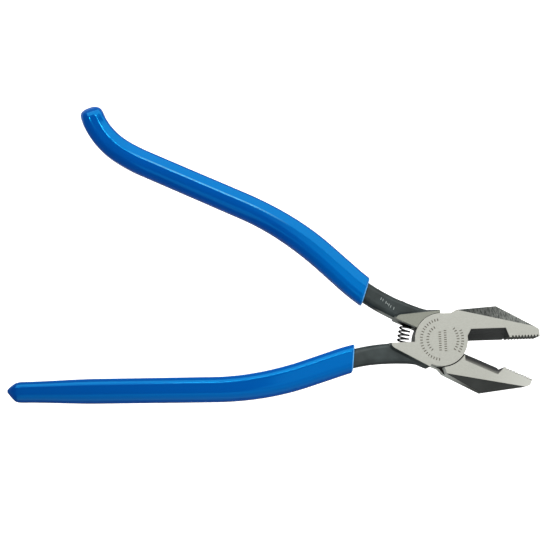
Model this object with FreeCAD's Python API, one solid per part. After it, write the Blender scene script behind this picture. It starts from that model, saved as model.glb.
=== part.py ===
"""Spring-opening lineman's pliers with one hooked handle and a riveted lap joint.

Millimetres, +Z up. The tool lies on the rear faces of its head, at Z = 0. The origin is where the
pivot axis meets that plane, and +X runs along the fixed half's centreline towards the jaws.
Each half is drawn in its own closed frame first: jaw at +X and +Y, handle at -X and -Y. The moving
half is that shape mirrored in Y, with its joint plate at the rear, then turned open about Z.
"""

import FreeCAD, Part
import math
import os
from FreeCAD import Vector

# Driving dimensions of the head and joint
HEAD_THICK = 16.0
MID_Z = HEAD_THICK / 2
OPEN_DEG = 25.4  # how far the spring holds the jaws open at rest
DISC_R = 11.6  # joint plate of each half
JAW_SEAT_GAP = 0.3  # radial gap between a plate and the seat around it, on the jaw side
NECK_SEAT_GAP = 0.16  # the same on the neck side
PLATE_GAP = 0.05  # half of the gap between the two joint plates
OVERRUN = 4.0  # how far cutting tools reach past the faces they cut
TOOL_SIZE = 90.0  # blocks that trim the halves and sleeves are about this big

# Jaw outline, in the closed frame of one half
HEEL = (7.2, 12.85)
PEAK = (25.3, 14.3)
NOSE = (41.0, 4.5)
NOSE_ROUND = (42.5, 3.6)
TIP_X = 43.1
TIP_SHOULDER_Y = 2.7
JAW_GAP = 0.03  # each jaw stops this far from the centreline when closed
PLATE_FLAT_Y = 11.5
PLATE_FLAT_X = 4.6
SEAT_HEEL = ((5.6, 10.3), (8.1, 12.93))  # the seat side of the jaw starts at this line
FACET_DROP = 4.5  # depth of the ground facet at the jaw's peak

# Cutting knife, ground from the front face to an edge near the rear face
KNIFE_START_X = 11.2
KNIFE_LIP_Y = 4.25
KNIFE_EDGE_Z = 1.5
KNIFE_BACK_Y = 0.8
KNIFE_BREAK_Y = 2.6  # where the steep wall turns into the knife's bevel, at mid thickness
KNIFE_RUNOUT_Y = 1.9  # the same place past the round end that the grinding wheel leaves
WHEEL_R = 5.6
WHEEL_CENTRE = (25.0, -2.3)
KNIFE_START_Y = 0.6  # the trench's joint end slants from here to its lip
KNIFE_LIP_START_X = 13.2
KNIFE_LIP_END_X = 28.4
KNIFE_END_SLANT = 1.5
PAD_START_X = 30.0

# Gripping teeth
TOOTH_PITCH = 1.35
TOOTH_COUNT = 9
TOOTH_DEPTH = 0.75
FIRST_GROOVE_X = 31.35
GROOVE_HALF_WIDTH = 0.44
GROOVE_HALF_FLOOR = 0.2
# Relief between pad and knife: where it starts, is deepest and ends, from the pad's start
RELIEF = (-1.2, -0.5, 0.1)
RELIEF_DEPTH = 0.75
RELIEF_TOP_Z = 7.0

# Neck between joint and handle
NECK_INNER_Y = -0.65
NECK_THICK = 11.6
NECK_OUTER = [(-18.0, -9.3), (-14.0, -9.5), (-10.0, -10.1), (-6.0, -11.8)]
NECK_CORNERS = [1.7, 1.4, 1.2, 1.1]
NECK_SHOULDER = [(-5.3, -11.75), (-4.6, -10.3)]
SEAT_SHOULDER = [(-5.35, -11.6), (-4.6, -9.9), (0, 0), (6, -8), (0, -14), (-5.5, -12.6)]
PAD_TOP = [(-21.8, NECK_INNER_Y), (-21.6, -2.0), (-20.6, -2.95), (-5.4, -11.65), (0, 0), (-9, NECK_INNER_Y)]
PAD_SLOPE_DROP = 2.2
PAD_SLOPE_RUN = 0.9
PAD_SPREAD = [(-1, 0), (-1, -0.4), (-0.6, -1), (-0.5, -0.87), (0, 0), (0, 0)]  # slope's way down, in runs

# Handles: a path of arcs and straights, each with a steel core and a dipped sleeve
NECK_END_X = -22.0
STRAIGHT_START_Y = -4.95
HOOKED_START_Y = -5.05
GRIP_FRONT_X = -38.4
GRIP_FRONT_Y = -6.5
GRIP_LINE_TILT = 6.0  # degrees between the sleeve's edge and the square of the tool's axis
# Arcs as radius and the heading in degrees that they turn to, and straights as length
STRAIGHT_HANDLE = [STRAIGHT_START_Y, ("arc", 80, 16.8), ("line", 14.6), ("arc", 134, -1.1), ("line", 84.3)]
HOOKED_HANDLE = [HOOKED_START_Y, ("arc", 80, 18.4), ("line", 14.8), ("arc", 134, 0.0), ("line", 48.6)]
HOOKED_HANDLE += [("arc", 77, 8.2), ("arc", 35, 43.0)]
STATION_STEP = 9.0
# Distance, width, height and corner radius
CORE_SIZES = [(0, 8.6, 11.4, 1.9), (16, 8.1, 10.4, 2.3), (30, 8.0, 9.6, 2.4), (80, 8.0, 9.4, 2.6)]
CORE_END_SIZE = (5.8, 7.4, 2.4)
CORE_END_TAPER = 30
SLEEVE_SIZES = [(8, 11.8, 13.4, 4.2), (45, 11.7, 13.2, 4.6), (80, 11.0, 12.8, 4.9), (130, 10.8, 12.6, 4.9)]
NOSE_ROUNDING = 0.9  # largest corner in the nose, as a share of its half size
SLEEVE_CORNER = 0.46  # largest corner radius, as a share of a section's smaller size
SLEEVE_LIP_R = 0.7
# Sleeve past the end of the steel: distance, inner half width, outer half width, height
STRAIGHT_NOSE = [
    (0, 4.5, 4.5, 11.0),
    (2.2, 4.0, 4.2, 10.2),
    (4.0, 2.9, 2.6, 8.0),
    (5.3, 2.0, 1.1, 5.4),
    (6.2, 1.2, 0.1, 3.0),
]
HOOKED_NOSE = [
    (0, 5.1, 5.4, 12.2),
    (1.6, 5.0, 5.15, 11.4),
    (3.0, 4.7, 4.3, 9.8),
    (4.0, 4.0, 3.0, 7.6),
    (4.6, 3.0, 1.7, 5.0),
    (4.9, 1.8, 0.6, 2.6),
]
# Crest along each sleeve's front and back: place as a share of the half width, drop beside it and
# the corner radius on that side
STRAIGHT_CREST = (-0.6, 1.5, 1.5)
HOOKED_CREST = (0.22, 1.7, 1.4)
CREST_R = 4.0

# Rivet
RIVET_R = 4.2
RIVET_HEAD_R = 5.1
RIVET_HEAD_DEPTH = 1.2
RUNNING_GAP = 0.05
RIVET_FIT = 0.001  # between the rivet and the half that it is fixed in

# Return spring, in blind pockets drilled into the two necks
POCKET_X = -16.4
POCKET_R = 3.2
POCKET_DEPTH = 4.2
SPRING_R = 2.35  # to the middle of the wire
WIRE_R = 0.38
SPRING_SEAT_Y = -4.3  # middle of the end turn's wire, in the bottom of its pocket
SPRING_TURNS = 9.0
SPRING_PHASE = 27.0  # where around the spring's axis the wire starts, in degrees from the handles' side
SPRING_POINTS = 16  # per turn

# Stamped tick marks on the front of the joint: arcs and columns of short bars
TICK_DEPTH = 0.14
TICK_SIZE = (1.15, 0.42)
TICK_ARCS = [(8.75, 98, 264, 8.2), (6.0, 118, 236, 12), (9.35, -36, 26, 7.4), (7.3, -38, 40, 9.6)]
TICK_COLUMNS = [(-0.6, -4.6, 3.4), (1.75, -5.0, 4.2)]  # x, lowest y and highest y
TICK_PITCH = 0.98
TICK_CUTTER_HEIGHT = 1.0


def prism(points, z_low, z_high):
    """Upright prism on a plan outline."""
    outline = Part.makePolygon([Vector(x, y, z_low) for x, y in points + points[:1]])
    return Part.Face(outline).extrude(Vector(0, 0, z_high - z_low))


def bar(profile, x_low, x_high):
    """Bar along X with a (y, z) profile."""
    outline = Part.makePolygon([Vector(x_low, y, z) for y, z in profile + profile[:1]])
    return Part.Face(outline).extrude(Vector(x_high - x_low, 0, 0))


def cylinder(radius, z_low, z_high, x=0.0, y=0.0):
    return Part.makeCylinder(radius, z_high - z_low, Vector(x, y, z_low))


def fuse_all(shapes):
    return shapes[0].multiFuse(shapes[1:]).removeSplitter()


def beyond_plane(corners, inside):
    """Large block on the far side of the plane through three corners, away from a point inside."""
    size = TOOL_SIZE
    origin = Vector(*corners[0])
    normal = (Vector(*corners[1]) - origin).cross(Vector(*corners[2]) - origin)
    if normal.dot(Vector(*inside) - origin) > 0:
        normal = normal * -1
    block = Part.makeBox(size, size, size, Vector(-size / 2, -size / 2, 0))
    block.Placement = FreeCAD.Placement(origin, FreeCAD.Rotation(Vector(0, 0, 1), normal))
    return block


# ---------------------------------------------------------------- jaw


def jaw_outline():
    return [
        (0, 0),
        (0, PLATE_FLAT_Y),
        (PLATE_FLAT_X, PLATE_FLAT_Y),
        HEEL,
        PEAK,
        NOSE,
        NOSE_ROUND,
        (TIP_X, TIP_SHOULDER_Y),
        (TIP_X, JAW_GAP),
        (DISC_R + JAW_SEAT_GAP, JAW_GAP),
    ]


def facet_cuts():
    """The ground facets on the jaw's back, one towards each face."""
    inside = (PEAK[0], 0, MID_Z)
    front = [(*HEEL, HEAD_THICK), (*PEAK, HEAD_THICK - FACET_DROP), (*NOSE, HEAD_THICK)]
    rear = [(*HEEL, 0), (*PEAK, FACET_DROP), (*NOSE, 0)]
    return [beyond_plane(front, inside), beyond_plane(rear, inside)]


def knife_cut():
    """What grinding removes to make the knife: a bevelled trench with a round run-out at the nose end."""
    top, bottom = HEAD_THICK + OVERRUN, -OVERRUN

    def profile(break_y):
        wall_slope = (KNIFE_LIP_Y - break_y) / MID_Z
        return [
            (-OVERRUN, top),
            (KNIFE_LIP_Y + wall_slope * OVERRUN, top),
            (break_y, MID_Z),
            (JAW_GAP, KNIFE_EDGE_Z),
            (KNIFE_BACK_Y, 0),
            (KNIFE_BACK_Y, bottom),
            (-OVERRUN, bottom),
        ]

    trench_plan = [
        (KNIFE_START_X, -OVERRUN),
        (KNIFE_START_X, KNIFE_START_Y),
        (KNIFE_LIP_START_X, KNIFE_LIP_Y),
        (KNIFE_LIP_START_X, KNIFE_LIP_Y + OVERRUN),
        (KNIFE_LIP_END_X - KNIFE_END_SLANT, KNIFE_LIP_Y + OVERRUN),
        (KNIFE_LIP_END_X, KNIFE_LIP_Y),
        (PAD_START_X, 0),
        (PAD_START_X, -OVERRUN),
    ]
    shallow = bar(profile(KNIFE_RUNOUT_Y), 0, TIP_X).common(prism(trench_plan, bottom, top))
    wheel_path = prism(
        [(KNIFE_START_X, -OVERRUN * 2), (KNIFE_START_X, WHEEL_CENTRE[1] + WHEEL_R)]
        + [(WHEEL_CENTRE[0], WHEEL_CENTRE[1] + WHEEL_R), (WHEEL_CENTRE[0], -OVERRUN * 2)],
        bottom,
        top,
    )
    wheel = wheel_path.fuse(cylinder(WHEEL_R, bottom, top, *WHEEL_CENTRE))
    deep = bar(profile(KNIFE_BREAK_Y), 0, TIP_X).common(prism(trench_plan, bottom, top)).common(wheel)
    return shallow.fuse(deep)


def tooth_grooves():
    """Grooves across the gripping pad, and the relief between pad and knife."""
    below, depth = -JAW_GAP, JAW_GAP + TOOTH_DEPTH
    top = HEAD_THICK + OVERRUN
    grooves = []
    for index in range(TOOTH_COUNT):
        x = FIRST_GROOVE_X + index * TOOTH_PITCH
        mouth = [(x - GROOVE_HALF_WIDTH, below), (x + GROOVE_HALF_WIDTH, below)]
        root = [(x + GROOVE_HALF_FLOOR, depth), (x - GROOVE_HALF_FLOOR, depth)]
        grooves.append(prism(mouth + root, -OVERRUN, top))
    start, deepest, end = (PAD_START_X + step for step in RELIEF)
    grooves.append(prism([(start, below), (end, below), (deepest, RELIEF_DEPTH)], -OVERRUN, RELIEF_TOP_Z))
    return grooves


# ---------------------------------------------------------------- neck and handle


def neck_outline():
    """Plan of the neck around the ground pad."""
    back_x = NECK_END_X - PAD_SLOPE_DROP
    start = [(back_x, NECK_INNER_Y), (back_x, NECK_OUTER[0][1])]
    return start + NECK_OUTER + NECK_SHOULDER + [(0, 0), (-DISC_R, NECK_INNER_Y)]


def ground_pad():
    """The full-thickness part of the neck, with sloped shoulders down to the forged surface."""
    run = PAD_SLOPE_RUN
    base = [(x + dx * run, y + dy * run) for (x, y), (dx, dy) in zip(PAD_TOP, PAD_SPREAD)]

    def wire(points, z):
        return Part.makePolygon([Vector(x, y, z) for x, y in points + points[:1]])

    low, high = PAD_SLOPE_DROP, HEAD_THICK - PAD_SLOPE_DROP
    layers = [
        Part.makeLoft([wire(PAD_TOP, 0), wire(base, low)], True, True),
        prism(base, low, high),
        Part.makeLoft([wire(base, high), wire(PAD_TOP, HEAD_THICK)], True, True),
    ]
    return fuse_all(layers).common(prism(neck_outline(), 0, HEAD_THICK))


def section(x, y, heading, width, height, corner):
    """Rounded rectangle square to a path that heads towards -X, turned by heading towards -Y."""
    outward = Vector(math.sin(heading), -math.cos(heading), 0)
    centre = Vector(x, y, MID_Z)
    half_width, half_height = width / 2, height / 2
    inset = corner * (1 - math.sqrt(0.5))

    def at(across, up):
        return centre + outward * across + Vector(0, 0, up)

    corners = []
    for side, level in ((1, 1), (1, -1), (-1, -1), (-1, 1)):
        on_side = at(side * half_width, level * (half_height - corner))
        on_level = at(side * (half_width - corner), level * half_height)
        middle = at(side * (half_width - inset), level * (half_height - inset))
        corners.append((on_level, middle, on_side) if side == level else (on_side, middle, on_level))
    edges = []
    for index, (first, middle, last) in enumerate(corners):
        following = corners[(index + 1) % len(corners)]
        edges.append(Part.Arc(first, middle, last).toShape())
        edges.append(Part.LineSegment(last, following[0]).toShape())
    return Part.Wire(edges)


def neck_flare(start_y):
    """Forged surface from the handle's start to the neck's shoulder beside the joint plate."""
    wires = [section(NECK_END_X, start_y, 0.0, *CORE_SIZES[0][1:])]
    for (x, outer_y), corner in zip(NECK_OUTER, NECK_CORNERS):
        width = NECK_INNER_Y - outer_y
        wires.append(section(x, outer_y + width / 2, 0.0, width, NECK_THICK, corner))
    return Part.makeLoft(wires, True, False)


def stations(path):
    """Walks a handle's path and returns (distance, x, y, heading) about every step."""
    x, y = NECK_END_X, path[0]
    heading, distance = 0.0, 0.0
    found = [(distance, x, y, heading)]
    for kind, size, *target in path[1:]:
        turn = math.radians(target[0]) - heading if kind == "arc" else 0.0
        length = abs(turn) * size if kind == "arc" else size
        count = max(1, round(length / STATION_STEP))
        bend = turn / count / 2
        chord = length / count * (math.sin(bend) / bend if bend else 1.0)
        for _ in range(count):
            heading += bend
            x -= chord * math.cos(heading)
            y -= chord * math.sin(heading)
            heading += bend
            distance += length / count
            found.append((distance, x, y, heading))
    return found


def size_at(distance, table):
    """Width, height and corner radius at a distance, between the rows of a size table."""
    if distance <= table[0][0]:
        return table[0][1:]
    for low, high in zip(table, table[1:]):
        if distance <= high[0]:
            share = (distance - low[0]) / (high[0] - low[0])
            share = share * share * (3 - 2 * share)
            return tuple(a + (b - a) * share for a, b in zip(low[1:], high[1:]))
    return table[-1][1:]


def handle_core(path):
    steps = stations(path)
    total = steps[-1][0]
    table = CORE_SIZES + [(total - CORE_END_TAPER, *CORE_SIZES[-1][1:]), (total, *CORE_END_SIZE)]
    return Part.makeLoft([section(x, y, h, *size_at(d, table)) for d, x, y, h in steps], True, False)


def crested_section(station, inner, outer, height, corner, crest):
    """Sleeve section from -inner to outer across the path, with a rounded crest along front and back."""
    _, x, y, heading = station
    share, drop, side_corner = crest
    half, reach = height / 2, (inner + outer) / 2
    scale = min(1.0, height / SLEEVE_SIZES[0][2], 2 * reach / SLEEVE_SIZES[0][1])
    drop, side_corner = drop * scale, side_corner * scale
    far_corner = min(corner, half * NOSE_ROUNDING, reach * NOSE_ROUNDING)
    on_outer = share > 0
    top = [
        (outer, half - drop if on_outer else half, side_corner if on_outer else far_corner),
        ((outer - inner) / 2 + share * reach, half, CREST_R * scale),
        (-inner, half if on_outer else half - drop, far_corner if on_outer else side_corner),
    ]
    outline = top + [(across, -up, radius) for across, up, radius in reversed(top)]
    outward = Vector(math.sin(heading), -math.cos(heading), 0)
    centre = Vector(x, y, MID_Z)
    arcs = [
        [centre + outward * across + Vector(0, 0, up) for across, up in arc] for arc in fillet_arcs(outline)
    ]
    edges = []
    for arc, following in zip(arcs, arcs[1:] + arcs[:1]):
        edges.append(Part.Arc(*arc).toShape())
        edges.append(Part.LineSegment(arc[2], following[0]).toShape())
    return Part.Wire(edges)


def fillet_arcs(outline):
    """Start, middle and end of the arc that rounds each corner of an outline given as (x, y, radius)."""
    arcs = []
    for index, (x, y, radius) in enumerate(outline):
        corner = Vector(x, y, 0)
        before = (Vector(*outline[index - 1][:2], 0) - corner).normalize()
        after = (Vector(*outline[(index + 1) % len(outline)][:2], 0) - corner).normalize()
        half = before.getAngle(after) / 2
        inward = (before + after).normalize()
        reach = radius / math.tan(half)
        points = [
            corner + before * reach,
            corner + inward * (radius / math.sin(half) - radius),
            corner + after * reach,
        ]
        arcs.append([(point.x, point.y) for point in points])
    return arcs


def sleeve_blank(path, nose, crest):
    """The sleeve before it is trimmed and hollowed."""
    steps = stations(path)[1:]
    end = steps.pop()
    total, x, y, heading = end
    width, height = nose[0][1] + nose[0][2], nose[0][3]
    table = SLEEVE_SIZES + [(total, width, height, SLEEVE_CORNER * width)]
    wires = []
    for step in steps:
        width, height, corner = size_at(step[0], table)
        wires.append(crested_section(step, width / 2, width / 2, height, corner, crest))
    for distance, inner, outer, height in nose:
        place = (total, x - distance * math.cos(heading), y - distance * math.sin(heading), heading)
        corner = SLEEVE_CORNER * min(inner + outer, height)
        wires.append(crested_section(place, inner, outer, height, corner, crest))
    return Part.makeLoft(wires, True, False)


def sleeve(path, nose, crest):
    """Dipped plastic sleeve around the steel core, with a soft lip at its front edge."""
    blank = sleeve_blank(path, nose, crest)
    trim = Part.makeBox(TOOL_SIZE, TOOL_SIZE, TOOL_SIZE, Vector(0, -TOOL_SIZE / 2, -TOOL_SIZE / 2))
    trim.rotate(Vector(0, 0, 0), Vector(0, 0, 1), -GRIP_LINE_TILT)
    trim.translate(Vector(GRIP_FRONT_X, GRIP_FRONT_Y, 0))
    blank = blank.cut(trim)
    front = max(blank.Faces, key=lambda face: face.CenterOfMass.x)
    blank = blank.makeFillet(SLEEVE_LIP_R, front.Edges)
    return blank.cut(handle_core(path))


# ---------------------------------------------------------------- joint


def rivet_shape(gap=0.0):
    """Rivet with two flush, countersunk heads. A gap gives the hole that it runs in."""
    shaft, head = RIVET_R + gap, RIVET_HEAD_R + gap
    depth = RIVET_HEAD_DEPTH
    over = OVERRUN if gap else 0.0
    outline = [
        (0, -over),
        (head, -over),
        (head, 0),
        (shaft, depth + gap),
        (shaft, HEAD_THICK - depth - gap),
        (head, HEAD_THICK),
        (head, HEAD_THICK + over),
        (0, HEAD_THICK + over),
    ]
    if not gap:
        outline = [row for index, row in enumerate(outline) if row not in outline[:index]]
    points = [Vector(r, 0, z) for r, z in outline]
    face = Part.Face(Part.makePolygon(points + points[:1]))
    return face.revolve(Vector(0, 0, 0), Vector(0, 0, 1), 360)


def spring_pocket():
    start = Vector(POCKET_X, NECK_INNER_Y + OVERRUN, MID_Z)
    return Part.makeCylinder(POCKET_R, POCKET_DEPTH + OVERRUN, start, Vector(0, -1, 0))


def joint_half(front_plate, path):
    """One forged half in its closed frame. The seat for the other half's plate is on the other side."""
    low, high = (MID_Z + PLATE_GAP, HEAD_THICK) if front_plate else (0.0, MID_Z - PLATE_GAP)
    seat_low, seat_high = (-OVERRUN, low) if front_plate else (high, HEAD_THICK + OVERRUN)
    jaw = prism(jaw_outline(), 0, HEAD_THICK)
    heel_in, heel_out = SEAT_HEEL
    high_y = PEAK[1] + OVERRUN
    low_x = -OVERRUN
    behind_heel = [heel_in, heel_out, (heel_out[0], high_y), (low_x, high_y), (low_x, 0), (heel_in[0], 0)]
    jaw = jaw.cut(prism(behind_heel, seat_low, seat_high))
    for block in facet_cuts():
        jaw = jaw.cut(block)
    jaw = jaw.cut(knife_cut())
    plate = cylinder(DISC_R, low, high)
    body = fuse_all([jaw, ground_pad(), neck_flare(path[0]), handle_core(path), plate])
    body = body.cut(cylinder(DISC_R + NECK_SEAT_GAP, seat_low, seat_high))
    jaw_side = Part.makeBox(TOOL_SIZE, TOOL_SIZE, TOOL_SIZE, Vector(0, -TOOL_SIZE / 2, -TOOL_SIZE / 2))
    body = body.cut(cylinder(DISC_R + JAW_SEAT_GAP, seat_low, seat_high).common(jaw_side))
    body = body.cut(prism(SEAT_SHOULDER, seat_low, seat_high))
    body = body.cut(spring_pocket())
    body = body.cut(Part.makeCompound(tooth_grooves()))
    return body


def tick_marks():
    """Arcs of short radial bars around the joint and two columns of bars across the rivet."""
    places = []
    for radius, first, last, step in TICK_ARCS:
        for index in range(int((last - first) / step) + 1):
            angle = first + index * step
            turn = math.radians(angle)
            places.append((radius * math.cos(turn), radius * math.sin(turn), angle))
    for x, low, high in TICK_COLUMNS:
        for index in range(int((high - low) / TICK_PITCH) + 1):
            places.append((x, low + index * TICK_PITCH, 0))
    length, width = TICK_SIZE
    marks = []
    for x, y, angle in places:
        mark = Part.makeBox(length, width, TICK_CUTTER_HEIGHT, Vector(-length / 2, -width / 2, 0))
        mark.rotate(Vector(0, 0, 0), Vector(0, 0, 1), angle)
        mark.translate(Vector(x, y, HEAD_THICK - TICK_DEPTH))
        marks.append(mark)
    return Part.makeCompound(marks)


def return_spring():
    """Helical compression spring, bowed along an arc that stands square to the bottom of both pockets."""
    half = math.radians(OPEN_DEG) / 2
    half_span = math.sin(half) * -POCKET_X - math.cos(half) * SPRING_SEAT_Y
    bow_r = half_span / math.sin(half)
    count = round(SPRING_TURNS * SPRING_POINTS)
    points = []
    for index in range(count + 1):
        bow = 2 * half * index / count
        turn = math.radians(SPRING_PHASE) + 2 * math.pi * index / SPRING_POINTS
        reach = bow_r + SPRING_R * math.cos(turn)
        x = POCKET_X + bow_r - reach * math.cos(bow)
        y = SPRING_SEAT_Y + reach * math.sin(bow)
        points.append(Vector(x, y, MID_Z + SPRING_R * math.sin(turn)))
    path = Part.BSplineCurve()
    path.interpolate(points)
    circle = Part.Wire(Part.makeCircle(WIRE_R, points[0], path.tangent(path.FirstParameter)[0]))
    return Part.Wire(path.toShape()).makePipeShell([circle], True, True)


def to_moving_side(shape):
    """Mirrors a shape from the fixed half's side and turns it open."""
    turned = shape.mirror(Vector(0, 0, 0), Vector(0, 1, 0))
    turned.rotate(Vector(0, 0, 0), Vector(0, 0, 1), -OPEN_DEG)
    return turned


def main():
    os.makedirs("parts", exist_ok=True)
    fixed = joint_half(True, STRAIGHT_HANDLE)
    moving = joint_half(False, HOOKED_HANDLE)
    parts = {
        "fixed_half": fixed.cut(rivet_shape(RIVET_FIT)).cut(tick_marks()),
        "moving_half": to_moving_side(moving.cut(rivet_shape(RUNNING_GAP))),
        "rivet": rivet_shape().cut(tick_marks()),
        "return_spring": return_spring(),
        "straight_grip": sleeve(STRAIGHT_HANDLE, STRAIGHT_NOSE, STRAIGHT_CREST),
        "hooked_grip": to_moving_side(sleeve(HOOKED_HANDLE, HOOKED_NOSE, HOOKED_CREST)),
    }
    for name, shape in parts.items():
        box = shape.BoundBox
        print(name, len(shape.Solids), "solid, valid:", shape.isValid(), round(shape.Volume / 1000, 3), "cm3")
        print("   x %.1f..%.1f y %.1f..%.1f" % (box.XMin, box.XMax, box.YMin, box.YMax))
        shape.exportStep("parts/%s.step" % name)


main()
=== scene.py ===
import math

import bmesh
import bpy
from mathutils import Matrix, Vector


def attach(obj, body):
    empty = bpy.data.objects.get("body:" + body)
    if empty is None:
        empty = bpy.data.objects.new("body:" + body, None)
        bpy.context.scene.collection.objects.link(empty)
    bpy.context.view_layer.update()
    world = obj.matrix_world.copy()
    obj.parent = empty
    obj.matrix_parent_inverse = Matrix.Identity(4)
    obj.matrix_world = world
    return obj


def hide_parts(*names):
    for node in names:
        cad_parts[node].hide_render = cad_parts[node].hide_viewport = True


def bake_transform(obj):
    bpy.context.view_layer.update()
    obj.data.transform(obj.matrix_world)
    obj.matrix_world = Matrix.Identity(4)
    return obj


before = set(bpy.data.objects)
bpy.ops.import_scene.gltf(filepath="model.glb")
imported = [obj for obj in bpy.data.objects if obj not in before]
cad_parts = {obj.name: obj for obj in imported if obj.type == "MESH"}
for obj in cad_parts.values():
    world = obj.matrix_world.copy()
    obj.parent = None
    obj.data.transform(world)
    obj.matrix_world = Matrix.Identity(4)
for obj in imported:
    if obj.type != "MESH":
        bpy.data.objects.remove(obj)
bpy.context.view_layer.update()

MM = 0.001
FIXED, MOVING = "fixed_side", "moving_side"

# The head, in millimetres, as in the CAD. Both halves share one closed frame: x runs from the handle
# to the jaw's tip and y to the back of the jaw. The moving half is then mirrored and turned open.
HEAD_THICK = 16.0
MID_Z = HEAD_THICK / 2
OPEN_DEG = 25.4

# The line that both sleeves start at: a point on it, its tilt in degrees, and the width of the lip
GRIP_FRONT = (-38.4, -6.5)
GRIP_LINE_TILT = 6.0
LIP_WIDTH = 0.6

POCKET_X = -16.4  # the spring's pockets, in both halves


def new_object(name, points, faces, material):
    """A mesh object with one material, made from points in metres."""
    mesh = bpy.data.meshes.new(name)
    mesh.from_pydata(points, [], faces)
    mesh.materials.append(material)
    made = bpy.data.objects.new(name, mesh)
    bpy.context.collection.objects.link(made)
    return made


# ---------------------------------------------------------------- camera, floor and light

# The camera's turns in degrees, and its place in millimetres along its own axes from mid thickness
CAMERA_TIP, CAMERA_SIDE, CAMERA_ROLL = -7.248, 0.306, 1.927
CAMERA_PLACE = (-72.70, 29.18, 616.46)
CAMERA_LENS = 91.13
CAMERA_SENSOR = 36.0
CAMERA_CLIP = 0.01

FLOOR_REACH = 3.0
FLOOR_Z = -0.25
FLOOR_TONE = 0.9
FLOOR_ROUGHNESS = 0.9
FLOOR_GLOW = 0.6

WORLD_STRENGTH = 0.12
MIDDLE = (-0.07, 0.03, 0.0)
# Each light's name, place, target and size in metres, and its power in watts
LIGHTS = [
    ("band_soft", (-0.1, 1.0, 1.0), MIDDLE, (2.4, 0.8), 16),
    ("line_soft", (-0.06, 0.56, 1.1), (-0.06, 0.03, 0), (0.3, 0.06), 0.9),
    ("front_soft", (0.25, 0.12, 1.1), (0.25, 0.12, 0), (0.66, 0.9), 1.6),
    ("back_card", (-0.1, 0.85, 0.1), MIDDLE, (2.0, 0.8), 2.1),
    ("floor_card", (-0.1, 0.4, -0.2), (-0.1, 0.2, 0.3), (2.0, 0.7), 2.6),
    ("low_soft", (0.12, -1.05, 0.62), MIDDLE, (2.2, 1.9), 9.5),
    ("over_soft", (0.0, 0.0, 1.3), MIDDLE, (2.2, 2.2), 3.5),
    ("side_soft", (1.1, 0.0, 0.6), MIDDLE, (0.3, 1.0), 2.4),
    ("spark", (-0.62, 0.31, 1.0), MIDDLE, (0.06, 0.06), 2.0),
]


def make_camera():
    """A long lens almost straight above the tool, turned and tipped a little."""
    tip = Matrix.Rotation(math.radians(CAMERA_TIP), 3, "X")
    side = Matrix.Rotation(math.radians(CAMERA_SIDE), 3, "Y")
    roll = Matrix.Rotation(math.radians(CAMERA_ROLL), 3, "Z")
    turn = (tip @ side @ roll).inverted()
    data = bpy.data.cameras.new("camera")
    data.lens = CAMERA_LENS
    data.sensor_width = CAMERA_SENSOR
    data.clip_start = CAMERA_CLIP
    camera = bpy.data.objects.new("camera", data)
    bpy.context.collection.objects.link(camera)
    place = turn @ Vector(CAMERA_PLACE) * MM + Vector((0, 0, MID_Z * MM))
    camera.matrix_world = Matrix.Translation(place) @ turn.to_4x4()
    bpy.context.scene.camera = camera


def make_floor():
    """A plain pale floor, well below the tool, that goes out to white."""
    material = bpy.data.materials.new("floor")
    material.use_nodes = True
    shader = material.node_tree.nodes["Principled BSDF"]
    shader.inputs["Base Color"].default_value = (FLOOR_TONE, FLOOR_TONE, FLOOR_TONE, 1)
    shader.inputs["Roughness"].default_value = FLOOR_ROUGHNESS
    shader.inputs["Emission Color"].default_value = (1, 1, 1, 1)
    shader.inputs["Emission Strength"].default_value = FLOOR_GLOW
    corners = [(x * FLOOR_REACH, y * FLOOR_REACH, FLOOR_Z) for x, y in ((-1, -1), (1, -1), (1, 1), (-1, 1))]
    floor = new_object("floor", corners, [(0, 1, 2, 3)], material)
    floor.visible_glossy = False


def area_light(name, place, target, size, power):
    """A white rectangle of light that faces its target."""
    data = bpy.data.lights.new(name, "AREA")
    data.shape = "RECTANGLE"
    data.size, data.size_y = size
    data.energy = power
    light = bpy.data.objects.new(name, data)
    bpy.context.collection.objects.link(light)
    place = Vector(place)
    light.location = place
    light.rotation_euler = (Vector(target) - place).to_track_quat("-Z", "Y").to_euler()


def make_lights():
    """Soft studio light and a faint white world."""
    world = bpy.data.worlds.new("studio")
    bpy.context.scene.world = world
    world.use_nodes = True
    background = world.node_tree.nodes["Background"]
    background.inputs["Color"].default_value = (1, 1, 1, 1)
    background.inputs["Strength"].default_value = WORLD_STRENGTH
    for light in LIGHTS:
        area_light(*light)
    bpy.context.scene.view_settings.view_transform = "Standard"


# ---------------------------------------------------------------- how materials are built


def to_rgb(red, green, blue):
    """Linear colour from an sRGB one given as 0 to 255."""
    def linear(value):
        value /= 255
        return value / 12.92 if value <= 0.04045 else ((value + 0.055) / 1.055) ** 2.4
    return (linear(red), linear(green), linear(blue), 1.0)


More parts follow.
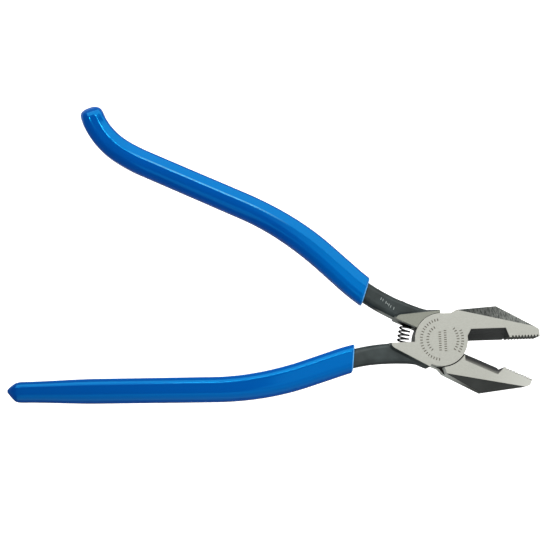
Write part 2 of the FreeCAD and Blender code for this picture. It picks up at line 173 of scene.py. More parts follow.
class Nodes:
    """Builds the nodes of one material, from its texture coordinates to its shader."""

    def __init__(self, name):
        self.material = bpy.data.materials.new(name)
        self.material.use_nodes = True
        self.tree = self.material.node_tree
        self.shader = self.tree.nodes["Principled BSDF"]
        self.coordinates = self.add("ShaderNodeTexCoord")
        self.point = self.coordinates.outputs["Object"]

    def add(self, kind, **settings):
        node = self.tree.nodes.new(kind)
        for key, value in settings.items():
            setattr(node, key, value)
        return node

    def link(self, source, target):
        """Joins an output to an input, or sets a plain value on it."""
        if isinstance(source, (int, float, tuple)):
            target.default_value = source
        else:
            self.tree.links.new(source, target)

    def finish(self, **inputs):
        """Gives the shader its inputs. Their names have underscores for spaces."""
        for name, value in inputs.items():
            self.link(value, self.shader.inputs[name.replace("_", " ")])

    def split(self, vector):
        node = self.add("ShaderNodeSeparateXYZ")
        self.link(vector, node.inputs["Vector"])
        return node.outputs

    def math(self, operation, first, second=0.0):
        node = self.add("ShaderNodeMath", operation=operation)
        self.link(first, node.inputs[0])
        self.link(second, node.inputs[1])
        return node.outputs[0]

    def times(self, first, *others):
        """Product of all the values."""
        for other in others:
            first = self.math("MULTIPLY", first, other)
        return first

    def most(self, first, *others):
        """Largest of the values."""
        for other in others:
            first = self.math("MAXIMUM", first, other)
        return first

    def away_from(self, mask):
        """1 where a mask is 0."""
        return self.math("SUBTRACT", 1.0, mask)

    def length(self, first, second):
        """Length of a step that is given as its two parts."""
        return self.math("SQRT", self.math("ADD", self.times(first, first), self.times(second, second)))

    def ramp(self, value, start, full):
        """0 up to the start, 1 from full on, straight between. Full may be the lower of the two."""
        node = self.add("ShaderNodeMapRange", clamp=True)
        self.link(value, node.inputs["Value"])
        node.inputs["From Min"].default_value = start
        node.inputs["From Max"].default_value = full
        return node.outputs["Result"]

    def mix(self, factor, first, second, kind="RGBA"):
        node = self.add("ShaderNodeMix", data_type=kind)
        self.link(factor, node.inputs["Factor"])
        self.link(first, node.inputs["A"])
        self.link(second, node.inputs["B"])
        return node.outputs["Result"]

    def blend(self, factor, first, second):
        """A number between two numbers."""
        return self.mix(factor, first, second, "FLOAT")

    def tone(self, factor, pair):
        """A colour between two sRGB tones."""
        return self.mix(factor, to_rgb(*pair[0]), to_rgb(*pair[1]))

    def layered(self, colour, layers):
        """A colour with others laid over it, each through its mask."""
        for mask, over in layers:
            colour = self.mix(mask, colour, over)
        return colour

    def noise(self, vector, scale, stretch=(1, 1, 1), detail=2.0, roughness=0.5):
        place = self.add("ShaderNodeMapping")
        self.link(vector, place.inputs["Vector"])
        place.inputs["Scale"].default_value = stretch
        node = self.add("ShaderNodeTexNoise")
        self.link(place.outputs["Vector"], node.inputs["Vector"])
        node.inputs["Scale"].default_value = scale
        node.inputs["Detail"].default_value = detail
        node.inputs["Roughness"].default_value = roughness
        return node.outputs["Fac"]

    def softened(self, radius, sharp=None):
        """The normal with its edges rounded, except where the mask for sharp edges is 1."""
        edge = self.add("ShaderNodeBevel", samples=6)
        edge.inputs["Radius"].default_value = radius
        normal = edge.outputs["Normal"]
        if sharp is None:
            return normal
        plain = self.add("ShaderNodeNewGeometry").outputs["Normal"]
        return self.mix(sharp, normal, plain, "VECTOR")

    def bump(self, height, strength, distance, normal=None):
        """Fine relief, over a softened normal where one is given."""
        node = self.add("ShaderNodeBump")
        node.inputs["Strength"].default_value = strength
        node.inputs["Distance"].default_value = distance
        self.link(height, node.inputs["Height"])
        if normal is not None:
            self.link(normal, node.inputs["Normal"])
        self.finish(Normal=node.outputs["Normal"])


class HalfNodes(Nodes):
    """Nodes for one half, with masks for the areas of its surface.

    An area is a list of rows, and it lies where all of them are full. Each row says what is measured,
    where the area starts and where it is full. Lengths are millimetres in the half's closed frame.
    """

    def __init__(self, name, mirrored, areas):
        super().__init__(name)
        self.areas = areas
        self.place = self.closed_place(mirrored)
        x, y, z = self.split(self.place)
        _, tilt_y, tilt_z = self.split(self.coordinates.outputs["Normal"])
        self.measures = {"x": x, "y": y, "z": z, "tilt_y": tilt_y, "tilt_z": tilt_z}

    def closed_place(self, mirrored):
        """The shaded point in millimetres, in the closed frame of its half."""
        closed = self.add("ShaderNodeMapping")
        self.link(self.point, closed.inputs["Vector"])
        closed.inputs["Scale"].default_value = (1 / MM, 1 / MM, 1 / MM)
        if not mirrored:
            return closed.outputs["Vector"]
        closed.inputs["Rotation"].default_value = (0, 0, math.radians(OPEN_DEG))
        flip = self.add("ShaderNodeMapping")
        self.link(closed.outputs["Vector"], flip.inputs["Vector"])
        flip.inputs["Scale"].default_value = (1, -1, 1)
        return flip.outputs["Vector"]

    def area(self, name):
        """1 inside an area and 0 outside it."""
        rows = self.areas[name]
        return self.times(*(self.ramp(self.measures[what], start, full) for what, start, full in rows))


# ---------------------------------------------------------------- steel

# Upright is how flat the surface lies, 1 on the faces and 0 on the walls. Height is from mid thickness,
# radius from the pivot, and bore from the middle of the spring's pocket.
STEEL_AREAS = {
    "face": [("upright", 0.97, 0.985), ("height", MID_Z - 0.35, MID_Z - 0.2)],
    "facet": [("upright", 0.6, 0.65), ("x", 6.5, 6.9)],
    "handle": [("x", -24.0, -29.0)],
    "slope": [("upright", 0.25, 0.4), ("x", 0.0, -2.0)],
    "low neck": [("height", 7.7, 7.4), ("y", -1.2, -6.0), ("x", -5.6, -6.2)],
    "flank": [("upright", 0.5, 0.25), ("y", -1.8, -1.3), ("x", -33.0, -29.0)],
    "knife": [("x", 11.3, 11.4), ("x", 30.0, 29.9), ("y", 4.5, 4.4)],
    "teeth": [("x", 29.9, 30.0), ("y", 0.7, 0.6)],
    "joint wall": [("radius", 12.6, 12.3), ("x", -5.0, -6.0)],
    "seat floor": [("upright", 0.9, 0.95), ("height", 1.0, 0.8)],
    "seat ring": [("radius", 11.35, 11.4), ("radius", 12.1, 12.05), ("x", 1.5, 2.0)],
    "front ring": [("z", MID_Z, MID_Z + 0.5), ("y", 1.0, 2.0)],
    "lower ring": [("y", -1.0, -2.0)],
    "pad": [("x", -3.5, -5.0), ("radius", 11.5, 11.8)],
    "front": [("z", MID_Z - 0.5, MID_Z + 0.5)],
    "rear": [("z", MID_Z + 0.5, MID_Z - 0.5)],
    "rivet": [("radius", 5.8, 5.6)],
    "pocket": [("bore", 4.6, 3.3), ("y", -5.2, -4.9)],
    "inner wall": [("y", -2.2, -1.2), ("x", -10.0, -11.0)],
    "back wall": [("y", 9.0, 10.0)],
    "far wall": [("y", -9.0, -10.0)],
    "along back wall": [("x", 8.0, 20.0)],
    "along jaw": [("x", 24.0, 42.0)],
    "along facet": [("x", 10.0, 36.0)],
    "up the bevel": [("y", 1.4, 4.2)],
    "up the teeth": [("y", 0.05, 0.32)],
}

# Tones in sRGB. Where a pair differs between the halves, it is looked up by mirrored.
GROUND = (169, 170, 161), (184, 185, 177)
GROUND_TIP = (194, 195, 187)
DULL = (129, 131, 121), (142, 145, 134)
WALL = (96, 99, 94), (124, 127, 121)
# Painted light on the necks' inner walls
LIT_INNER_WALL = (158, 163, 157)
# Painted light on the fixed half's wall along its far side
LIT_FAR_WALL = (160, 164, 157)
# Painted light on the back walls, bright near the pivot and fading to dark towards the tip
BACK_WALL_LIGHT_TO_SHADE = (204, 209, 202), (84, 88, 81)
# Painted shade on the wall round the pivot's disc, on the spring's side
JOINT_WALL_SHADE = (104, 107, 103)
# Painted shade on the flat floors of the steps near mid thickness
SEAT_FLOOR_SHADE = (22, 23, 22)
# Painted shade in the narrow gap round the pivot's seat
SEAT_GAP_SHADE = (10, 10, 10)
# Painted shade inside the spring's pockets
POCKET_SHADE = (14, 15, 15)
# Painted reflection on the jaws' facets: evenly dark on the moving half, and on the fixed half lighter
# towards the tip
EVEN_FACET_REFLECTION = (50, 53, 51), (60, 63, 61)
FACET_STREAK = (38, 42, 40)
FACET_REFLECTION = (64, 68, 63), (164, 168, 162)
OXIDE = {False: ((34, 43, 42), (58, 67, 67)), True: ((26, 35, 34), (48, 58, 58))}
# The cutting bevels: dark grey on the fixed half, and on the moving half painted shade and reflection, near
# black at the edge and lighter up the bevel
KNIFE = {False: ((72, 75, 74), (84, 87, 86)), True: ((12, 13, 12), (132, 133, 125))}
# Painted shade on the teeth, darker up between them
TEETH_SHADE = {False: ((120, 123, 118), (30, 32, 31)), True: ((76, 78, 74), (20, 22, 21))}

# Where along each noise a tone starts and where it is full
GRAIN_RANGE = (0.25, 0.75)
CLOUD_RANGE = (0.3, 0.7)
OXIDE_RANGE = (0.3, 0.75)
STREAK_RANGE = (0.38, 0.66)
FINE_RANGE = (0.3, 0.7)

# Noise over the closed frame's millimetres, and fine noise over metres
GRAIN = {"scale": 2.6, "stretch": (0.5, 1.6, 1.0), "detail": 4, "roughness": 0.65}
STREAK = {"scale": 3.0, "stretch": (1.0, 0.12, 0.12), "detail": 3, "roughness": 0.7}
CLOUD = {"scale": 0.16, "detail": 3}
FINE = {"scale": 2200, "detail": 4, "roughness": 0.65}

FACE_ROUGHNESS, WALL_ROUGHNESS = 0.45, 0.5
OXIDE_ROUGHNESS = (0.4, 0.55)
BRIGHT_METALLIC, DARK_METALLIC = 0.5, 0.3
SPECULAR, KNIFE_SPECULAR = 0.5, 0.1

# Relief: how much of it each noise makes, its depth and the edges' radius in metres, and its strength
GRAIN_RELIEF, STREAK_RELIEF, CLOUD_RELIEF = 0.5, 1.5, 2.0
STEEL_RELIEF = 0.00005
STEEL_EDGE = 0.00018
FINE_EDGE = 0.00015
RELIEF_STRENGTH = 0.3


def add_steel_measures(n):
    """What the steel's areas measure besides the place and the normal."""
    x, y, z, _, tilt_z = n.measures.values()
    above = n.math("SUBTRACT", z, MID_Z)
    n.measures["upright"] = n.math("ABSOLUTE", tilt_z)
    n.measures["height"] = n.math("ABSOLUTE", above)
    n.measures["radius"] = n.length(x, y)
    n.measures["bore"] = n.length(n.math("SUBTRACT", x, POCKET_X), above)


def facet_tone(n, mirrored, streak, cloud):
    """The facets on the jaws, with painted reflection: evenly dark on the moving half, and on the other
    brushed and lighter towards the tip.
    """
    if mirrored:
        return n.tone(n.ramp(cloud, *CLOUD_RANGE), EVEN_FACET_REFLECTION)
    bright = n.tone(n.area("along facet"), FACET_REFLECTION)
    return n.mix(n.ramp(streak, *STREAK_RANGE), to_rgb(*FACET_STREAK), bright)


def ground_tone(n, mirrored, grain):
    """The ground faces, duller on the pad that stands apart from the half's own plate."""
    fine = n.ramp(grain, *GRAIN_RANGE)
    ground = n.tone(fine, GROUND)
    if mirrored:
        ground = n.mix(n.area("along jaw"), ground, to_rgb(*GROUND_TIP))
    apart = n.times(n.area("front" if mirrored else "rear"), n.area("pad"))
    return n.mix(apart, ground, n.tone(fine, DULL))


def wall_tone(n, mirrored, cloud):
    """The side walls all round a half, with painted light on the necks' inner walls and the fixed half's far
    wall, and on the back walls painted light that fades to dark.
    """
    wall = n.layered(n.tone(n.ramp(cloud, *CLOUD_RANGE), WALL), [
        (n.area("inner wall"), to_rgb(*LIT_INNER_WALL)),
        (n.area("back wall"), n.tone(n.area("along back wall"), BACK_WALL_LIGHT_TO_SHADE)),
    ])
    return wall if mirrored else n.mix(n.area("far wall"), wall, to_rgb(*LIT_FAR_WALL))


def steel_material(name, mirrored):
    """Ground and forged steel of one half, with painted light and shade on some walls, painted shade in its
    hollows, gaps and teeth, and painted reflection on its facets and bevels.
    """
    n = HalfNodes(name, mirrored, STEEL_AREAS)
    add_steel_measures(n)
    grain = n.noise(n.place, **GRAIN)
    streak = n.noise(n.place, **STREAK)
    cloud = n.noise(n.place, **CLOUD)

    face = n.area("face")
    off_face = n.away_from(face)
    facet = n.times(n.area("facet"), off_face)
    rough = n.most(n.area("handle"), n.area("slope"), n.area("low neck"))
    forged = n.times(rough, n.away_from(n.area("flank")), off_face)
    knife = n.times(n.area("knife"), off_face)
    ring = n.area("front ring") if mirrored else n.times(n.area("lower ring"), off_face)
    bevel = n.area("up the bevel") if mirrored else n.ramp(grain, *FINE_RANGE)

    # Over the walls lie the faces' own tones, then painted shade and painted reflection in the layers named
    # for them
    colour = n.layered(wall_tone(n, mirrored, cloud), [
        (face, ground_tone(n, mirrored, grain)),
        (n.times(n.area("joint wall"), off_face), to_rgb(*JOINT_WALL_SHADE)),
        (n.area("seat floor"), to_rgb(*SEAT_FLOOR_SHADE)),
        (facet, facet_tone(n, mirrored, streak, cloud)),
        (forged, n.tone(n.ramp(cloud, *OXIDE_RANGE), OXIDE[mirrored])),
        (knife, n.tone(bevel, KNIFE[mirrored])),
        (n.times(n.area("teeth"), off_face), n.tone(n.area("up the teeth"), TEETH_SHADE[mirrored])),
        (n.area("pocket"), to_rgb(*POCKET_SHADE)),
        (n.times(n.area("seat ring"), ring), to_rgb(*SEAT_GAP_SHADE)),
    ])
    roughness = n.blend(face, WALL_ROUGHNESS, FACE_ROUGHNESS)
    metallic = n.blend(forged, BRIGHT_METALLIC, DARK_METALLIC)
    n.finish(
        Base_Color=colour,
        Roughness=n.blend(forged, roughness, n.blend(cloud, *OXIDE_ROUGHNESS)),
        Metallic=n.blend(knife, metallic, DARK_METALLIC),
        Specular_IOR_Level=n.blend(knife, SPECULAR, KNIFE_SPECULAR),
    )
    relief = n.math("ADD", n.times(grain, GRAIN_RELIEF), n.times(streak, facet, STREAK_RELIEF))
    relief = n.math("ADD", relief, n.times(cloud, forged, CLOUD_RELIEF))
    n.bump(relief, RELIEF_STRENGTH, STEEL_RELIEF, n.softened(STEEL_EDGE, n.area("rivet")))
    return n.material


def plain_steel(name, pair, roughness, metallic):
    """Fine-grained metal between two sRGB tones."""
    n = Nodes(name)
    grain = n.noise(n.point, **FINE)
    n.finish(Base_Color=n.tone(n.ramp(grain, *FINE_RANGE), pair), Roughness=roughness, Metallic=metallic)
    n.bump(grain, RELIEF_STRENGTH, STEEL_RELIEF, n.softened(FINE_EDGE))
    return n.material


# ---------------------------------------------------------------- vinyl

# Ahead is from the sleeves' front line towards the jaws. The tilts are the y and z of the surface's
# normal, as the tool lies open.
VINYL_AREAS = {
    # The lip area carries a painted highlight
    "lip": [("ahead", -LIP_WIDTH, -LIP_WIDTH / 2)],
    "crest": [("tilt_y", 0.05, 0.12), ("tilt_y", 0.27, 0.2), ("tilt_z", 0.9, 0.94), ("x", -80.0, -100.0)],
    "before the hook": [("x", -162.0, -150.0)],
    "lit top": [("x", -85.0, -52.0), ("tilt_y", 0.25, 0.05)],
    "along sleeve": [("x", -190.0, -50.0)],
}

BLUE = (0, 66, 150), (0, 72, 160)
# Painted shade and light on the straight sleeve: darker at its point, lighter at its front
SHADED_BLUE_ALONG = (0, 60, 138), (0, 80, 168)  # the straight sleeve, from its point to its front
ALONG_SHARE = 0.8
# Painted highlight along each sleeve's crest, for the straight and the hooked sleeve
CREST_HIGHLIGHT = {False: (16, 96, 180), True: (80, 122, 172)}
# Painted light on the hooked sleeve, growing towards its front, on faces that do not tilt towards +y
LIT_TOP = (0, 88, 172)
# Painted highlight along the sleeves' front lip
LIP_HIGHLIGHT = (110, 180, 240)
VINYL_TINT = (0.0, 0.5, 0.9, 1.0)
WAVE_RANGE = (0.25, 0.75)
WAVE = {"scale": 40}
SPECK = {"scale": 900}
VINYL_ROUGHNESS = (0.08, 0.12)
VINYL_IOR = 2.0
COAT = 0.05
COAT_ROUGHNESS = 0.05
WAVE_RELIEF, SPECK_RELIEF = 0.4, 0.03
VINYL_RELIEF = 0.0002
VINYL_RELIEF_STRENGTH = 0.1


def ahead_of_front(n):
    """How far the shaded point is ahead of the line that both sleeves start at."""
    tilt = math.radians(GRIP_LINE_TILT)
    along = n.times(n.math("SUBTRACT", n.measures["x"], GRIP_FRONT[0]), math.cos(tilt))
    across = n.times(n.math("SUBTRACT", n.measures["y"], GRIP_FRONT[1]), math.sin(tilt))
    return n.math("SUBTRACT", along, across)


def vinyl_material(name, mirrored):
    """Glossy dipped vinyl with slow waves and faint specks, and painted light: a highlight along the crest, a
    highlight on the lip, a lighter top on the hooked sleeve and shade towards the straight one's point.
    """
    n = HalfNodes(name, mirrored, VINYL_AREAS)
    n.measures["ahead"] = ahead_of_front(n)
    wave = n.noise(n.point, **WAVE)
    speck = n.noise(n.point, **SPECK)
    blue = n.tone(n.ramp(wave, *WAVE_RANGE), BLUE)
    crest = n.area("crest")
    if mirrored:
        crest = n.times(crest, n.area("before the hook"))
    else:
        # painted shade and light along the straight sleeve
        blue = n.mix(ALONG_SHARE, blue, n.tone(n.area("along sleeve"), SHADED_BLUE_ALONG))
    # Painted highlight along the crest
    blue = n.mix(crest, blue, to_rgb(*CREST_HIGHLIGHT[mirrored]))
    if mirrored:
        # Painted light on the hooked sleeve's top
        blue = n.mix(n.area("lit top"), blue, to_rgb(*LIT_TOP))
    n.finish(
        Base_Color=n.mix(n.area("lip"), blue, to_rgb(*LIP_HIGHLIGHT)),
        Roughness=n.blend(speck, *VINYL_ROUGHNESS),
        IOR=VINYL_IOR,
        Specular_Tint=VINYL_TINT,
        Coat_Weight=COAT,
        Coat_Roughness=COAT_ROUGHNESS,
    )
    relief = n.math("ADD", n.times(wave, WAVE_RELIEF), n.times(speck, SPECK_RELIEF))
    n.bump(relief, VINYL_RELIEF_STRENGTH, VINYL_RELIEF)
    return n.material


# ---------------------------------------------------------------- handle sleeves

# Each handle's path in the closed frame, as in the CAD: the y it starts at, then arcs given by their
# radius and the heading in degrees that they end at, and straight lengths
NECK_END_X = -22.0
STRAIGHT_HANDLE = [-4.95, ("arc", 80, 16.8), ("line", 14.6), ("arc", 134, -1.1), ("line", 84.3)]
HOOKED_HANDLE = [-5.05, ("arc", 80, 18.4), ("line", 14.8), ("arc", 134, 0.0), ("line", 48.6)]
HOOKED_HANDLE += [("arc", 77, 8.2), ("arc", 35, 43.0)]
# Along the path: distance, the section's width, height and corner
SLEEVE_SIZES = [(8, 11.8, 13.4, 4.2), (45, 11.7, 13.2, 4.6), (80, 11.0, 12.8, 4.9), (130, 10.8, 12.6, 4.9)]
SLEEVE_CORNER = 0.46  # the corner at the end of the steel and past it, as a share of the section
# Past the end of the steel: distance, inner half width, outer half width, height
STRAIGHT_NOSE = [
    (0, 4.5, 4.5, 11.0),
    (2.2, 4.0, 4.2, 10.2),
    (4.0, 2.9, 2.6, 8.0),
    (5.3, 2.0, 1.1, 5.4),
    (6.2, 1.2, 0.1, 3.0),
]
HOOKED_NOSE = [
    (0, 5.1, 5.4, 12.2),
    (1.6, 5.0, 5.15, 11.4),
    (3.0, 4.7, 4.3, 9.8),
    (4.0, 4.0, 3.0, 7.6),
    (4.6, 3.0, 1.7, 5.0),
    (4.9, 1.8, 0.6, 2.6),
]
# Crest along each sleeve's front and back: place as a share of the half width, drop beside it, the
# corner on that side, and the crest's own radius. It changes to the second row near the end.
STRAIGHT_CREST = [(-0.6, 1.5, 1.5, 4.0), (-0.6, 1.5, 1.5, 4.0)]
HOOKED_CREST = [(0.22, 1.7, 1.4, 4.0), (0.3, 0.8, 2.2, 7.0)]
SOFTENING = 24.0  # length over which the crest changes
# The rolled lip at the front: how much smaller the section is, and how far back it stands
LIP_STEPS = [(2.2, 0.25), (1.4, 0.06), (0.7, 0.0), (0.45, 0.05), (0.2, 0.22), (0.06, 0.42), (0.0, 0.72)]
SLANT_FADE = 14.0  # length over which the sections turn square to the handle
ROUNDEST = 0.9  # largest corner, as a share of the section's half width or height
HOLD_SHARES = (0.08, 0.92)  # where each flat between two corners has its two more points
PATH_STEP = 1.5
NOSE_STEPS = 4  # sections between two rows of a nose
CORNER_POINTS = 9


def skin(name, rings, material):
    """Smooth closed skin through rings of points in millimetres."""
    points, faces = [], []
    count = len(rings[0])
    for ring in rings:
        points += [point * MM for point in ring]
    for row in range(len(rings) - 1):
        for index in range(count):
            after = (index + 1) % count
            low, high = row * count, (row + 1) * count
            faces.append((low + index, low + after, high + after, high + index))
    last = (len(rings) - 1) * count
    faces.append(tuple(reversed(range(count))))
    faces.append(tuple(range(last, last + count)))
    piece = new_object(name, points, faces, material)
    mesh = piece.data
    shape = bmesh.new()
    shape.from_mesh(mesh)
    bmesh.ops.recalc_face_normals(shape, faces=shape.faces)
    shape.to_mesh(mesh)
    shape.free()
    mesh.polygons.foreach_set("use_smooth", [True] * len(mesh.polygons))
    return piece


def walk(path):
    """Walks a handle's path and returns (distance, x, y, heading) about every step."""
    x, y = NECK_END_X, path[0]
    heading = distance = 0.0
    found = [(0.0, x, y, 0.0)]
    for kind, size, *target in path[1:]:
        turn = math.radians(target[0]) - heading if kind == "arc" else 0.0
        length = abs(turn) * size if kind == "arc" else size
        count = max(1, round(length / PATH_STEP))
        for _ in range(count):
            middle = heading + turn / count / 2
            x -= length / count * math.cos(middle)
            y -= length / count * math.sin(middle)
            heading += turn / count
            distance += length / count
            found.append((distance, x, y, heading))
    return found


def between(distance, table):
    """A size table's row at a distance, eased between its rows."""
    if distance <= table[0][0]:
        return table[0][1:]
    for low, high in zip(table, table[1:]):
        if distance <= high[0]:
            share = (distance - low[0]) / (high[0] - low[0])
            share = share * share * (3 - 2 * share)
            return tuple(a + (b - a) * share for a, b in zip(low[1:], high[1:]))
    return table[-1][1:]


def filleted(corners):
    """Points of a convex outline given as (across, up, radius), with its corners rounded.

    Two more points on the side between two corners keep it flat.
    """
    found = []
    for index, (x, y, radius) in enumerate(corners):
        corner = Vector((x, y))
        before = (Vector(corners[index - 1][:2]) - corner).normalized()
        after = (Vector(corners[(index + 1) % len(corners)][:2]) - corner).normalized()
        half = before.angle(after) / 2
        middle = corner + (before + after).normalized() * radius / math.sin(half)
        start = corner + before * radius / math.tan(half) - middle
        turn = (math.pi - 2 * half) * (1 if before.cross(after) < 0 else -1)
        for step in range(CORNER_POINTS):
            at = middle + Matrix.Rotation(turn * step / (CORNER_POINTS - 1), 2) @ start
            found.append((at.x, at.y))
    held = []
    for index, point in enumerate(found):
        held.append(point)
        if index % CORNER_POINTS == CORNER_POINTS - 1:
            after = found[(index + 1) % len(found)]
            for share in HOLD_SHARES:
                held.append(tuple(a + (b - a) * share for a, b in zip(point, after)))
    return held


def sleeve_outline(inner, outer, height, corner, crest):
    """(across, up) points of a sleeve's section, with a crest along its front and back."""
    share, drop, side_corner, crest_r = crest
    half = height / 2
    middle, reach = (outer - inner) / 2, (inner + outer) / 2
    scale = min(1.0, height / SLEEVE_SIZES[0][2], 2 * reach / SLEEVE_SIZES[0][1])
    drop, side_corner = drop * scale, side_corner * scale
    peak = middle + share * reach
    far_corner = min(corner, half * ROUNDEST, reach * ROUNDEST)
    at_outer, at_inner = (half - drop, side_corner), (half, far_corner)
    if share < 0:
        at_outer, at_inner = at_inner, at_outer
    top = [(outer, *at_outer), (peak, half, crest_r * scale), (-inner, *at_inner)]
    bottom = [(x, -y, radius) for x, y, radius in reversed(top)]
    return filleted(top + bottom)


def ring_at(station, outline, back=0.0, slant=0.0):
    """Places a section's points at a station, back along the path, and slanted across it."""
    _, x, y, heading = station
    middle = Vector((x, y, MID_Z))
    away = Vector((-math.cos(heading), -math.sin(heading), 0))
    outward = Vector((math.sin(heading), -math.cos(heading), 0))
    return [middle + away * (back + slant * across) + outward * across + Vector((0, 0, up))
            for across, up in outline]


def smooth(p, q, r, s, t):
    """A number at t between q and r, on the Catmull-Rom curve through all four."""
    square = (2 * p - 5 * q + 4 * r - s) * t ** 2
    cube = (3 * q - p - 3 * r + s) * t ** 3
    return 0.5 * (2 * q + (r - p) * t + square + cube)


def filled_in(rows, per):
    """Rows of numbers with more rows smoothly between them."""
    padded = [rows[0]] + rows + [rows[-1]]
    found = []
    for four in zip(padded, padded[1:], padded[2:], padded[3:]):
        for index in range(per):
            found.append(tuple(smooth(*numbers, index / per) for numbers in zip(*four)))
    return found + [rows[-1]]


def sleeve_rings(path, nose, crest):
    """Sections from the sleeve's front lip to the middle of its nose."""
    steps = walk(path)
    end = steps[-1]
    _, inner, outer, height = nose[0]
    table = SLEEVE_SIZES + [(end[0], inner + outer, height, SLEEVE_CORNER * (inner + outer))]
    tilt = math.radians(GRIP_LINE_TILT)

    def behind(station):
        """How far a station is behind the line that both sleeves start at."""
        _, x, y, _ = station
        return (y - GRIP_FRONT[1]) * math.sin(tilt) - (x - GRIP_FRONT[0]) * math.cos(tilt)

    first = next(index for index, station in enumerate(steps) if behind(station) > 0)
    front_distance, _, _, heading = steps[first]
    back = -behind(steps[first]) / math.cos(heading + tilt)
    slant = math.tan(heading + tilt)
    width, height, corner = between(front_distance, table)
    rings = []
    for shrink, step in LIP_STEPS:
        half = width / 2 - shrink
        outline = sleeve_outline(half, half, height - 2 * shrink, corner - shrink / 2, crest[0])
        rings.append(ring_at(steps[first], outline, back + step, slant))
    for station in steps[first + 1:-1]:
        distance = station[0]
        fade = max(0.0, 1 - (distance - front_distance) / SLANT_FADE)
        soft = max(0.0, 1 - (end[0] - distance) / SOFTENING)
        width, height, corner = between(distance, table)
        here = [a + (b - a) * soft for a, b in zip(*crest)]
        outline = sleeve_outline(width / 2, width / 2, height, corner, here)
        rings.append(ring_at(station, outline, 0, slant * fade))
    for distance, inner, outer, height in filled_in(nose, NOSE_STEPS):
        corner = SLEEVE_CORNER * min(inner + outer, height)
        rings.append(ring_at(end, sleeve_outline(inner, outer, height, corner, crest[1]), distance))
    return rings


def to_moving(point):
    """A point of the closed frame, mirrored to the moving half and turned open."""
    return Matrix.Rotation(math.radians(-OPEN_DEG), 3, "Z") @ Vector((point.x, -point.y, point.z))


# ---------------------------------------------------------------- return spring

SPRING_R = 2.35
WIRE_R = 0.38
SPRING_SEAT_Y = -4.3
SPRING_TURNS = 9
SPRING_PHASE = 27.0  # degrees, where the first turn starts
STEPS_PER_TURN = 28
WIRE_SIDES = 10
WIRE_TAPER = 0.55  # the wire's cut ends, as a share of its radius


def spring_rings():
    """The wire of a helical spring that is bowed between the two pockets."""
    half = math.radians(OPEN_DEG) / 2
    half_span = math.sin(half) * -POCKET_X - math.cos(half) * SPRING_SEAT_Y
    bow_r = half_span / math.sin(half)
    hub = Vector((POCKET_X + bow_r, SPRING_SEAT_Y, MID_Z))
    up = Vector((0, 0, 1))
    count = SPRING_TURNS * STEPS_PER_TURN
    centres, middles = [], []
    for index in range(count + 1):
        bow = 2 * half * index / count
        turn = math.radians(SPRING_PHASE) + 2 * math.pi * index / STEPS_PER_TURN
        outward = Vector((-math.cos(bow), math.sin(bow), 0))
        middles.append(hub + outward * bow_r)
        centres.append(middles[-1] + (outward * math.cos(turn) + up * math.sin(turn)) * SPRING_R)
    rings = []
    for index, centre in enumerate(centres):
        along = (centres[min(index + 1, count)] - centres[max(index - 1, 0)]).normalized()
        out = (centre - middles[index]).normalized()
        side = along.cross(out).normalized()
        out = side.cross(along)
        radius = WIRE_R * WIRE_TAPER if index in (0, count) else WIRE_R
        angles = [2 * math.pi * number / WIRE_SIDES for number in range(WIRE_SIDES)]
        rings.append([centre + (out * math.cos(angle) + side * math.sin(angle)) * radius for angle in angles])
    return rings


# ---------------------------------------------------------------- stamped marks

# Arcs of bars about the pivot: radius, first and last angle, and the step between bars in degrees
TICK_ARCS = [(8.75, 98, 264, 8.2), (6.0, 118, 236, 12), (9.35, -36, 26, 7.4), (7.3, -38, 40, 9.6)]
# Columns of bars: x, and the lowest and highest y
TICK_COLUMNS = [(-0.6, -4.6, 3.4), (1.75, -5.0, 4.2)]
TICK_PITCH = 0.98
TICK_SIZE = (1.35, 0.36)
TICK_TOP = HEAD_THICK - 0.03
TICK_LOW = HEAD_THICK - 0.135
BAR_END_POINTS = 5
# Raised marks on the moving half's neck: x, y in its closed frame and the way each one lies
NECK_MARKS = [(-31.1, -6.3, 90), (-30.1, -6.1, 80), (-28.5, -5.7, 90), (-27.7, -5.4, 20)]
NECK_MARKS += [(-26.8, -5.2, 90), (-25.9, -4.8, 90), (-24.3, -4.6, 80)]
NECK_MARK_SIZE = (1.25, 0.36)
NECK_MARK_LOW = 13.3
NECK_MARK_TOP = 13.57


def tick_places():
    """Where the short bars stand: x, y and the angle they are turned by."""
    places = []
    for radius, first, last, step in TICK_ARCS:
        for index in range(int((last - first) / step) + 1):
            angle = math.radians(first + index * step)
            places.append((radius * math.cos(angle), radius * math.sin(angle), angle))
    for x, low, high in TICK_COLUMNS:
        for index in range(int((high - low) / TICK_PITCH) + 1):
            places.append((x, low + index * TICK_PITCH, 0.0))
    return places


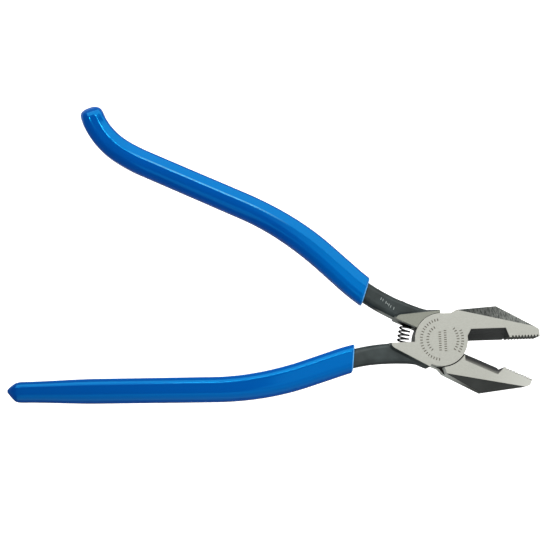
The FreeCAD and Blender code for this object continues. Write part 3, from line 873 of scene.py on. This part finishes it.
def bars(name, places, size, low, high, material, place=lambda point: point):
    """Short bars with rounded ends, all in one piece."""
    points, faces = [], []
    length, width = size
    outline = []
    for start, centre in ((-90, length / 2 - width / 2), (90, width / 2 - length / 2)):
        for index in range(BAR_END_POINTS):
            turn = math.radians(start + 180 * index / (BAR_END_POINTS - 1))
            outline.append((centre + width / 2 * math.cos(turn), width / 2 * math.sin(turn)))
    count = len(outline)
    for x, y, angle in places:
        first = len(points)
        for z in (low, high):
            for across, up in outline:
                at_x = x + across * math.cos(angle) - up * math.sin(angle)
                at_y = y + across * math.sin(angle) + up * math.cos(angle)
                points.append(place(Vector((at_x, at_y, z))) * MM)
        faces.append(tuple(first + index for index in reversed(range(count))))
        faces.append(tuple(first + count + index for index in range(count)))
        for index in range(count):
            after = (index + 1) % count
            faces.append((first + index, first + after, first + count + after, first + count + index))
    return new_object(name, points, faces, material)


# ---------------------------------------------------------------- the scene

make_camera()
make_floor()
make_lights()

vinyl_straight = vinyl_material("dipped_vinyl_straight", False)
vinyl_hooked = vinyl_material("dipped_vinyl_hooked", True)
black_wire = plain_steel("black_wire", ((12, 12, 13), (20, 20, 21)), roughness=0.7, metallic=0.0)
mark_pale = plain_steel("mark_pale", ((128, 136, 134), (148, 156, 154)), roughness=0.5, metallic=0.3)
mark_dark = plain_steel("mark_dark", ((96, 92, 82), (112, 107, 96)), roughness=0.8, metallic=0.0)
for node, material in (
    ("fixed_half", steel_material("steel_fixed", False)),
    ("moving_half", steel_material("steel_moving", True)),
    ("rivet", steel_material("steel_rivet", False)),
):
    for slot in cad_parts[node].material_slots:
        slot.material = material

straight_rings = sleeve_rings(STRAIGHT_HANDLE, STRAIGHT_NOSE, STRAIGHT_CREST)
straight = skin("straight_sleeve", straight_rings, vinyl_straight)
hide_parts("straight_grip")
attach(straight, FIXED)

hooked_rings = sleeve_rings(HOOKED_HANDLE, HOOKED_NOSE, HOOKED_CREST)
hooked_rings = [[to_moving(point) for point in ring] for ring in hooked_rings]
hooked = skin("hooked_sleeve", hooked_rings, vinyl_hooked)
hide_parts("hooked_grip")
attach(hooked, MOVING)

coil = skin("coil_spring", spring_rings(), black_wire)
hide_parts("return_spring")
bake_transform(coil)

marks = bars("stamped_marks", tick_places(), TICK_SIZE, TICK_LOW, TICK_TOP, mark_dark)
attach(marks, FIXED)

neck_places = [(x, y, math.radians(angle)) for x, y, angle in NECK_MARKS]
raised = bars("neck_marks", neck_places, NECK_MARK_SIZE, NECK_MARK_LOW, NECK_MARK_TOP, mark_pale, to_moving)
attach(raised, MOVING)
